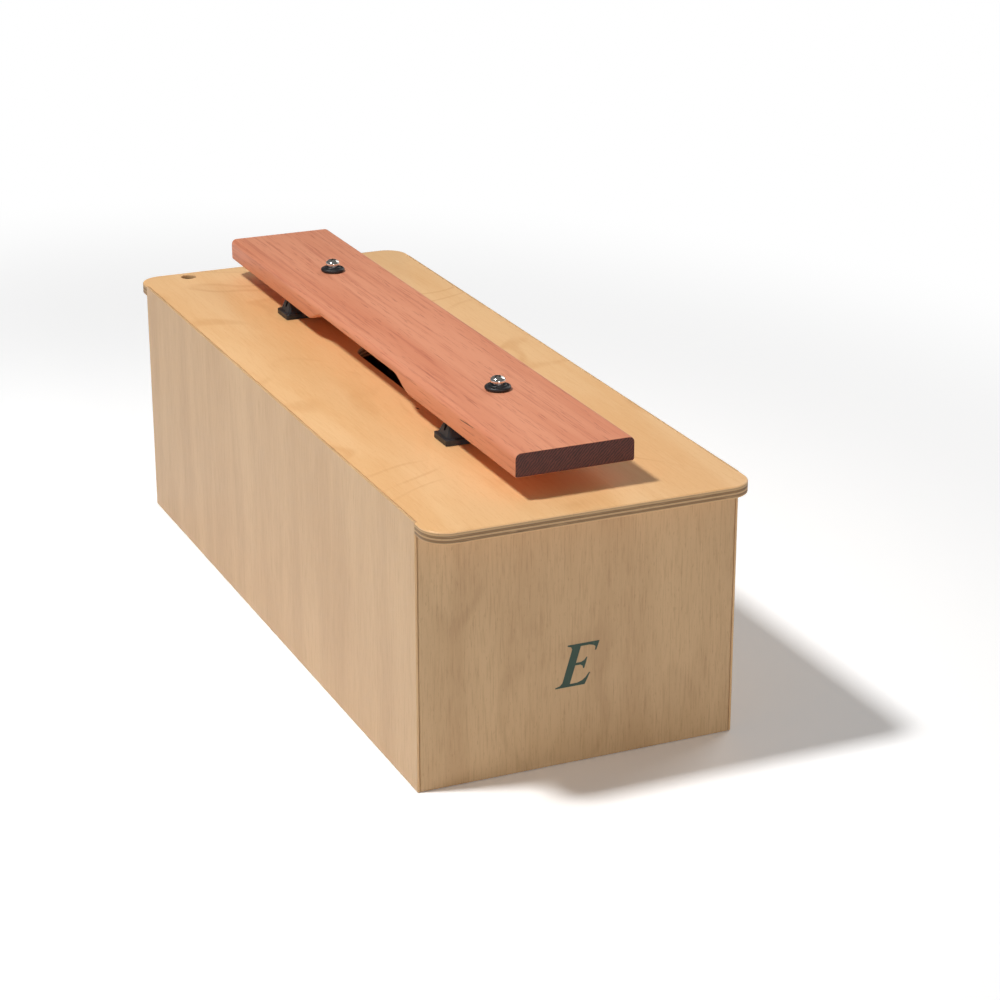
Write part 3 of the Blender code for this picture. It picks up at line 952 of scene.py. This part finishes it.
@dataclass(frozen=True)
class Lid:
    """Plywood lid with finely rounded ears, slot and mallet hole."""

    corner_radius: float = 0.017
    round_over: float = 0.0012
    lower_round_over: float = 0.0006
    seat_gap: float = 0.0003
    lip: float = 0.0016
    slot_length: float = 0.132
    slot_width: float = 0.044
    mallet_hole: tuple[float, float] = (-0.072, 0.288)
    mallet_hole_diameter: float = 0.012
    screw_hole_diameter: float = 0.0056
    steepest_face: float = 0.55

    def rings(self, inset: np.ndarray, level: np.ndarray) -> np.ndarray:
        """Return the lid's outline at several levels.

        Each point of ring i lies at its place on the full outline less the ring's inset times
        the point's outward direction. That direction is (cos a, sin a) round a corner, across
        the box at an ear's root, and nothing where the lid is housed between the walls.

        Args:
            inset: Distance that each ring's free edges are drawn in.
            level: Height of each ring.

        Returns:
            Array of shape (rings, points, 3), anticlockwise.
        """
        ear_x, ear_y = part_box("lid")[1][:2]
        housed_x = ear_x - self.lip - self.seat_gap
        housed_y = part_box("side_panel_left")[1][1] + self.seat_gap
        corner_x, corner_y = ear_x - self.corner_radius, ear_y - self.corner_radius
        points, outward = [], []
        for side, start in ((1.0, 0.0), (-1.0, 180.0)):
            near = arc((0.0, 0.0), 1.0, start, start + 90.0, 24)
            far = arc((0.0, 0.0), 1.0, start + 90.0, start + 180.0, 24)
            corner = np.array([side * corner_x, side * corner_y])
            points += [
                [[side * housed_x, -side * housed_y], [side * housed_x, side * housed_y]],
                [[side * ear_x, side * housed_y]],
                corner + self.corner_radius * near,
                corner * [-1.0, 1.0] + self.corner_radius * far,
                [[-side * ear_x, side * housed_y]],
            ]
            outward += [np.zeros((2, 2)), [[side, 0.0]], near, far, [[-side, 0.0]]]
        flat = np.concatenate(points) - inset[:, None, None] * np.concatenate(outward)
        heights = np.broadcast_to(level[:, None, None], (*flat.shape[:2], 1))
        return np.concatenate([flat, heights], axis=-1)

    def build(self, finishes: Finishes) -> bpy.types.Object:
        """Build the lid.

        Args:
            finishes: The object's finishes.

        Returns:
            The lid.
        """
        low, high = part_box("lid")
        under, over = self.lower_round_over, self.round_over
        lower = arc((under, low[2] + under), under, 270.0, 180.0, 3)
        upper = arc((over, high[2] - over), over, 180.0, 90.0, 6)
        inset, level = np.concatenate([lower, upper]).T
        points, faces = skin(self.rings(inset, level))
        lid = mesh_object("lid_board", points, faces, Body.RESONATOR)
        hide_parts("lid")
        below, above = low[2] - CUT_MARGIN, high[2] + CUT_MARGIN
        reach = (self.slot_length - self.slot_width) / 2
        half = self.slot_width / 2
        slot = np.concatenate(
            [arc((0.0, reach), half, 0.0, 180.0, 32), arc((0.0, -reach), half, 180.0, 360.0, 32)]
        )
        cutters = [prism(slot, below, above)]
        hole = arc(self.mallet_hole, self.mallet_hole_diameter / 2, 0.0, 360.0, 48)[:-1]
        cutters.append(prism(hole, below, above))
        for node in ("bar_screw_front", "bar_screw_rear"):
            ring = arc(middle_of(node), self.screw_hole_diameter / 2, 0.0, 360.0, 32)[:-1]
            cutters.append(prism(ring, below, above))
        carve(lid, cutters)
        sawn = np.abs(face_normals(lid.data)[:, 2]) < self.steepest_face
        # The lid's top and bottom get the birch whose extra brightness is painted light.
        sort_faces(lid, [finishes.lid_face_lacquered_and_painted_light, finishes.lid_edge], sawn)
        return lid


@dataclass(frozen=True)
class SoundBar:
    """Tuned bar with a broad round-over, a tuning arch and two node holes."""

    top_radius: float = 0.004
    bottom_radius: float = 0.0016
    end_radius: float = 0.0012
    arch_length: float = 0.198
    arch_ramp: float = 0.030
    arch_depth: float = 0.0084
    hole_radius: float = 0.0059
    upper_steps: int = 10
    lower_steps: int = 4
    span_margin: float = 0.004
    span_steps: int = 96
    end_face: float = 0.7

    def arch(self, along: np.ndarray) -> np.ndarray:
        """Return the arch's rise over the underside.

        The rise is the depth times (1 - cos(pi t)) / 2, where t goes from 0 at the arch's foot
        to 1 a ramp's length further in.

        Args:
            along: Distances from the bar's middle.

        Returns:
            The rise at each distance.
        """
        into = np.clip((self.arch_length / 2 - np.abs(along)) / self.arch_ramp, 0.0, 1.0)
        return self.arch_depth * (1.0 - np.cos(np.pi * into)) / 2

    def rings(self, low: np.ndarray, high: np.ndarray) -> np.ndarray:
        """Return the bar's section at each place along it.

        Point j of ring i lies at its corner's centre plus (corner's radius - ring's inset) times
        (cos a_j, sin a_j). The upper corners' centres stay level and the lower ones rise with
        the arch. The inset follows a quarter turn at each end, so the ends are rounded.

        Args:
            low: Lower corner of the bar's box.
            high: Upper corner of the bar's box.

        Returns:
            Array of shape (rings, points, 3).
        """
        half = (high - low) / 2
        turned = arc((0.0, 0.0), self.end_radius, 90.0, 0.0, 6)
        end_place = half[1] - self.end_radius + turned[:, 0]
        end_inset = self.end_radius - turned[:, 1]
        reach = self.arch_length / 2 + self.span_margin
        span = np.linspace(-reach, reach, self.span_steps)
        along = np.concatenate([-end_place[::-1], span, end_place])
        inset = np.concatenate([end_inset[::-1], np.zeros_like(span), end_inset])[:, None]
        steps = [self.upper_steps, self.upper_steps, self.lower_steps, self.lower_steps]
        starts = (0.0, 90.0, 180.0, 270.0)
        unit = np.concatenate(
            [arc((0.0, 0.0), 1.0, start, start + 90.0, count) for start, count in zip(starts, steps)]
        )
        counts = np.array(steps) + 1
        side = np.repeat([1.0, -1.0, -1.0, 1.0], counts)
        is_upper = np.repeat([True, True, False, False], counts)
        radius = np.where(is_upper, self.top_radius, self.bottom_radius)
        floor = low[2] + self.arch(along)[:, None]
        centre_z = np.where(is_upper, high[2] - radius, floor + radius)
        x = side * (half[0] - radius) + (radius - inset) * unit[:, 0]
        y = np.broadcast_to(((low[1] + high[1]) / 2 + along)[:, None], x.shape)
        z = centre_z + (radius - inset) * unit[:, 1]
        return np.stack([x, y, z], axis=-1)

    def build(self, finishes: Finishes) -> bpy.types.Object:
        """Build the bar.

        Args:
            finishes: The object's finishes.

        Returns:
            The bar.
        """
        low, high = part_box("sound_bar")
        points, faces = skin(self.rings(np.array(low), np.array(high)))
        bar = mesh_object("tuned_bar", points, faces, Body.BAR)
        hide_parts("sound_bar")
        cutters = []
        for node in ("bar_bush_front", "bar_bush_rear"):
            ring = arc(middle_of(node), self.hole_radius, 0.0, 360.0, 48)[:-1]
            cutters.append(prism(ring, low[2] - CUT_MARGIN, high[2] + CUT_MARGIN))
        carve(bar, cutters)
        ends = np.abs(face_normals(bar.data)[:, 1]) > self.end_face
        sort_faces(bar, [finishes.bar_face, finishes.bar_end], ends)
        return bar


@dataclass(frozen=True)
class BarBush:
    """Rubber bush: round-rimmed flange, shallow groove, raised ring and neck."""

    bore: float = 0.0038
    neck: float = 0.0056
    ring: float = 0.0060
    ring_height: float = 0.0008
    groove: float = 0.0004
    seat_gap: float = 0.0003

    def build(self, end: str, finishes: Finishes) -> bpy.types.Object:
        """Build one bush.

        Args:
            end: Which end of the bar.
            finishes: The object's finishes.

        Returns:
            The bush.
        """
        low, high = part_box(f"bar_bush_{end}")
        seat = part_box("sound_bar")[1][2] + self.seat_gap
        flange = (high[0] - low[0]) / 2
        flange_top = high[2] - self.ring_height
        rim = (flange_top - seat) / 2
        rows = [
            np.array([[self.bore, low[2]], [self.neck, low[2]], [self.neck, seat]]),
            arc((flange - rim, seat + rim), rim, -90.0, 90.0, 14),
            arc((self.ring + 2 * self.groove, flange_top), self.groove, 0.0, -180.0, 6),
            arc((self.ring - self.ring_height, flange_top), self.ring_height, 0.0, 90.0, 6),
            np.array([[self.bore, high[2]]]),
        ]
        points, faces = lathe(np.concatenate(rows), middle_of(f"bar_bush_{end}"))
        bush = mesh_object(f"bush_{end}", points, faces, Body.BAR)
        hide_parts(f"bar_bush_{end}")
        bush.data.materials.append(finishes.rubber)
        return bush


@dataclass(frozen=True)
class BarScrew:
    """Domed screw with a straight-walled cross recess and a threaded shank."""

    shank: float = 0.0025
    rim: float = 0.0012
    head_height: float = 0.0042
    recess_reach: float = 0.0026
    recess_breadth: float = 0.00055
    recess_depth: float = 0.0021
    recess_margin: float = 0.002
    rim_chamfer: float = 0.0003
    tip_taper: float = 0.0006
    thread_depth: float = 0.00012
    thread_rows: int = 90
    bare_length: float = 0.02
    run_out: float = 0.0005

    def build(self, end: str, turn: float, finishes: Finishes) -> bpy.types.Object:
        """Build one screw.

        Args:
            end: Which end of the bar.
            turn: Angle of the cross recess in degrees.
            finishes: The object's finishes.

        Returns:
            The screw.
        """
        low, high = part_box(f"bar_screw_{end}")
        centre = middle_of(f"bar_screw_{end}")
        head = (high[0] - low[0]) / 2
        seat = high[2] - self.head_height
        foot = seat + self.rim
        dome = arc((0.0, 0.0), 1.0, 0.0, 90.0, 20) * [head, high[2] - foot] + [0.0, foot]
        levels = np.linspace(low[2] + self.tip_taper, seat - self.bare_length, self.thread_rows)
        wave = np.cos(np.arange(self.thread_rows) * math.pi)
        thread = self.shank - self.thread_depth + self.thread_depth * wave
        rows = [
            np.array([[0.0, low[2]], [self.shank - self.tip_taper, low[2]]]),
            np.column_stack([thread, levels]),
            np.array(
                [
                    [self.shank, seat - self.bare_length + self.run_out],
                    [self.shank, seat],
                    [head - self.rim_chamfer, seat],
                    [head, seat + self.rim_chamfer],
                ]
            ),
            dome,
        ]
        points, faces = lathe(np.concatenate(rows), centre)
        screw = mesh_object(f"screw_{end}", points, faces, Body.RESONATOR)
        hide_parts(f"bar_screw_{end}")
        cross = []
        for quarter in range(4):
            angle = math.radians(turn - 90.0 * quarter)
            spin = np.array([[math.cos(angle), math.sin(angle)], [-math.sin(angle), math.cos(angle)]])
            arm = np.array(
                [
                    [self.recess_breadth, self.recess_breadth],
                    [self.recess_reach, self.recess_breadth],
                    [self.recess_reach, -self.recess_breadth],
                ]
            )
            cross.append(arm @ spin)
        outline = np.concatenate(cross) + np.array(centre)
        recess = prism(outline, high[2] - self.recess_depth, high[2] + self.recess_margin)
        carve(screw, [recess])
        screw.data.materials.clear()
        screw.data.materials.append(finishes.steel)
        return screw


@dataclass(frozen=True)
class BarSupports:
    """Rubber rests between lid and bar: CAD pieces in the rubber finish."""

    nodes: tuple[str, ...] = ("bar_support_front", "bar_support_rear")

    def build(self, finishes: Finishes) -> list[bpy.types.Object]:
        """Finish the rests.

        Args:
            finishes: The object's finishes.

        Returns:
            The finished rests.
        """
        return [dress(name, finishes.rubber) for name in self.nodes]


@dataclass(frozen=True)
class NoteLetter:
    """The note's plain letter on the front panel: strokes of even ink with small serifs."""

    height: float = 0.0285
    width: float = 0.022
    stem: float = 0.0056
    stem_place: float = 0.0040
    arm: float = 0.0019
    bracket: float = 0.0062
    slant: float = 0.30
    middle: tuple[float, float] = (-0.0012, 0.0672)
    ink_thickness: float = 0.00006
    ink_sink: float = 0.00002

    def outline(self) -> np.ndarray:
        """Return the letter's outline.

        Each arm ends in a wedge whose inner edge eases into the arm over three points.

        Returns:
            Rows of X and Z on the panel, slanted by a share of Z.
        """
        wide, tall, arm, reach = self.width, self.height, self.arm, self.bracket
        left, right = self.stem_place, self.stem_place + self.stem
        half = tall * 0.52
        tip = wide * 0.76
        rows = np.array(
            [
                (0.0, 0.0), (wide * 0.93, 0.0), (wide, reach * 1.25), (wide - arm * 0.5, reach * 1.25),
                (wide - arm * 1.3, reach * 0.75), (wide - arm * 2.4, arm * 1.5),
                (wide - arm * 4.0, arm), (right, arm), (right, half - arm * 0.45),
                (tip - arm * 1.9, half - arm * 0.45), (tip - arm * 0.9, half - arm),
                (tip - arm * 0.4, half - reach * 0.6), (tip, half - reach * 0.6),
                (tip, half + reach * 0.6), (tip - arm * 0.4, half + reach * 0.6),
                (tip - arm * 0.9, half + arm), (tip - arm * 1.9, half + arm * 0.45),
                (right, half + arm * 0.45), (right, tall - arm),
                (wide - arm * 3.4, tall - arm), (wide - arm * 1.8, tall - arm * 1.4),
                (wide - arm * 0.9, tall - reach * 0.6), (wide - arm * 0.7, tall - reach),
                (wide - arm * 0.2, tall - reach), (wide, tall), (0.0, tall), (0.0, tall - arm * 0.45),
                (left - arm * 0.7, tall - arm * 0.8), (left, tall - arm * 1.7), (left, arm * 1.7),
                (left - arm * 0.7, arm * 0.8), (0.0, arm * 0.45),
            ]
        )
        rows -= np.array([wide / 2, tall / 2])
        rows[:, 0] += rows[:, 1] * self.slant
        return rows + np.array(self.middle)

    def build(self, finishes: Finishes) -> bpy.types.Object:
        """Build the letter as a skin of ink on the panel.

        Args:
            finishes: The object's finishes.

        Returns:
            The letter.
        """
        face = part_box("end_panel_front")[0][1]
        rows = self.outline()
        back = np.column_stack([rows[:, 0], np.full(len(rows), face - self.ink_sink), rows[:, 1]])
        front = back - np.array([0.0, self.ink_thickness, 0.0])
        points, faces = skin(np.stack([back, front]))
        letter = mesh_object("note_letter", points, faces, Body.RESONATOR)
        letter.data.materials.append(finishes.ink)
        return letter


@dataclass(frozen=True)
class Lamp:
    """A square area light: where it hangs, what it faces, its side and its power in watts."""

    name: str
    place: Point
    target: Point
    size: float
    power: float

    def build(self) -> None:
        """Make the light."""
        light = bpy.data.lights.new(self.name, "AREA")
        light.size = self.size
        light.energy = self.power
        item = bpy.data.objects.new(self.name, light)
        item.location = self.place
        aim = Vector(self.target) - Vector(self.place)
        item.rotation_euler = aim.to_track_quat("-Z", "Y").to_euler()
        bpy.context.collection.objects.link(item)


@dataclass(frozen=True)
class Studio:
    """Pale floor, a small key light at the upper left, two fill lights and the photo's camera."""

    focal_pixels: float = 2628.4
    image_pixels: float = 1000.0
    camera_place: Point = (-0.65265, -1.63141, 0.74827)
    pitch: float = 0.36288
    roll: float = 0.00042
    yaw: float = -0.41599
    floor_half: float = 14.0
    paper_near: float = 0.42
    paper_far: float = 0.95
    paper_lit: Colour = (0.80, 0.80, 0.80)
    paper_seen: Colour = (1.30, 1.30, 1.30)
    paper_shape: Point = (1.0, 0.75, 1.0)
    floor_level: float = -0.0002
    sky_strength: float = 0.17
    lamps: tuple[Lamp, ...] = (
        Lamp("key_light", (-0.68, -0.10, 1.454), (0.0, -0.05, 0.1), 0.16, 17.0),
        Lamp("right_light", (2.6, 1.4, 1.7), (0.0, 0.0, 0.1), 1.8, 26.0),
        Lamp("front_light", (-0.1, -3.4, 0.45), (0.0, 0.0, 0.1), 0.9, 26.0),
    )

    def build(self) -> None:
        """Make floor, lights, backdrop and camera."""
        self.make_floor()
        for lamp in self.lamps:
            lamp.build()
        self.make_world()
        self.make_camera()

    def make_floor(self) -> None:
        """Make the pale floor."""
        half, level = self.floor_half, self.floor_level
        corners = [(x * half, y * half, level) for x, y in ((-1, -1), (1, -1), (1, 1), (-1, 1))]
        mesh = bpy.data.meshes.new("studio_floor")
        mesh.from_pydata(corners, [], [(0, 1, 2, 3)])
        floor = bpy.data.objects.new("studio_floor", mesh)
        bpy.context.collection.objects.link(floor)
        mesh.materials.append(self.paper())

    def paper(self) -> bpy.types.Material:
        """Make the floor's white paper.

        Camera and mirror rays see a paler paper than the light does, and pure white further
        away, as on a burnt-out backdrop: the white rises smoothly with the distance from the
        object's middle.

        Returns:
            The floor's material.
        """
        build = NodeBuilder("floor_paper")
        rays = build.tree.nodes.new("ShaderNodeLightPath")
        seen = build.math("MAXIMUM", rays.outputs["Is Camera Ray"], rays.outputs["Is Glossy Ray"])
        paper = build.tree.nodes.new("ShaderNodeBsdfDiffuse")
        build.link(build.mix(seen, self.paper_lit, self.paper_seen), paper.inputs["Color"])
        white = build.tree.nodes.new("ShaderNodeEmission")
        distance = build.tree.nodes.new("ShaderNodeVectorMath")
        distance.operation = "LENGTH"
        build.link(build.scaled(self.paper_shape), distance.inputs[0])
        reach = build.window(distance.outputs["Value"], self.paper_near, self.paper_far)
        blend = build.tree.nodes.new("ShaderNodeMixShader")
        build.link(build.math("MULTIPLY", seen, reach), blend.inputs[0])
        build.link(paper.outputs["BSDF"], blend.inputs[1])
        build.link(white.outputs["Emission"], blend.inputs[2])
        build.link(blend.outputs["Shader"], build.tree.nodes["Material Output"].inputs["Surface"])
        return build.material

    def make_world(self) -> None:
        """Make a white backdrop for the camera over a dimmer sky that lights the object."""
        world = bpy.data.worlds.new("studio_world")
        bpy.context.scene.world = world
        world.use_nodes = True
        nodes, links = world.node_tree.nodes, world.node_tree.links
        background = nodes["Background"]
        background.inputs["Color"].default_value = (1.0, 1.0, 1.0, 1.0)
        background.inputs["Strength"].default_value = self.sky_strength
        white = nodes.new("ShaderNodeBackground")
        white.inputs["Strength"].default_value = 1.0
        white.inputs["Color"].default_value = (1.0, 1.0, 1.0, 1.0)
        rays = nodes.new("ShaderNodeLightPath")
        mix = nodes.new("ShaderNodeMixShader")
        links.new(rays.outputs["Is Camera Ray"], mix.inputs["Fac"])
        links.new(background.outputs["Background"], mix.inputs[1])
        links.new(white.outputs["Background"], mix.inputs[2])
        links.new(mix.outputs["Shader"], nodes["World Output"].inputs["Surface"])

    def make_camera(self) -> None:
        """Make the camera that matches the photograph's view."""
        data = bpy.data.cameras.new("photo_camera")
        data.sensor_width = 36.0
        data.lens = self.focal_pixels * data.sensor_width / self.image_pixels
        data.clip_end = 60.0
        camera = bpy.data.objects.new("photo_camera", data)
        camera.location = self.camera_place
        camera.rotation_euler = Euler((math.pi / 2 - self.pitch, self.roll, self.yaw), "XYZ")
        bpy.context.collection.objects.link(camera)
        bpy.context.scene.camera = camera
        bpy.context.scene.view_settings.view_transform = "Standard"


def main() -> None:
    """Build the object's classes in order, log each piece, and set up the studio."""
    logging.basicConfig(level=logging.INFO)
    finishes = Finishes()
    pieces = ResonatorBox().build(finishes)
    pieces.append(Lid().build(finishes))
    pieces.append(SoundBar().build(finishes))
    for end, turn in (("front", 24.0), ("rear", 51.0)):
        pieces.append(BarBush().build(end, finishes))
        pieces.append(BarScrew().build(end, turn, finishes))
    pieces.extend(BarSupports().build(finishes))
    pieces.append(NoteLetter().build(finishes))
    for piece in pieces:
        LOG.info("%s: %d faces", piece.name, len(piece.data.polygons))
    Studio().build()


if __name__ == "__main__":
    main()
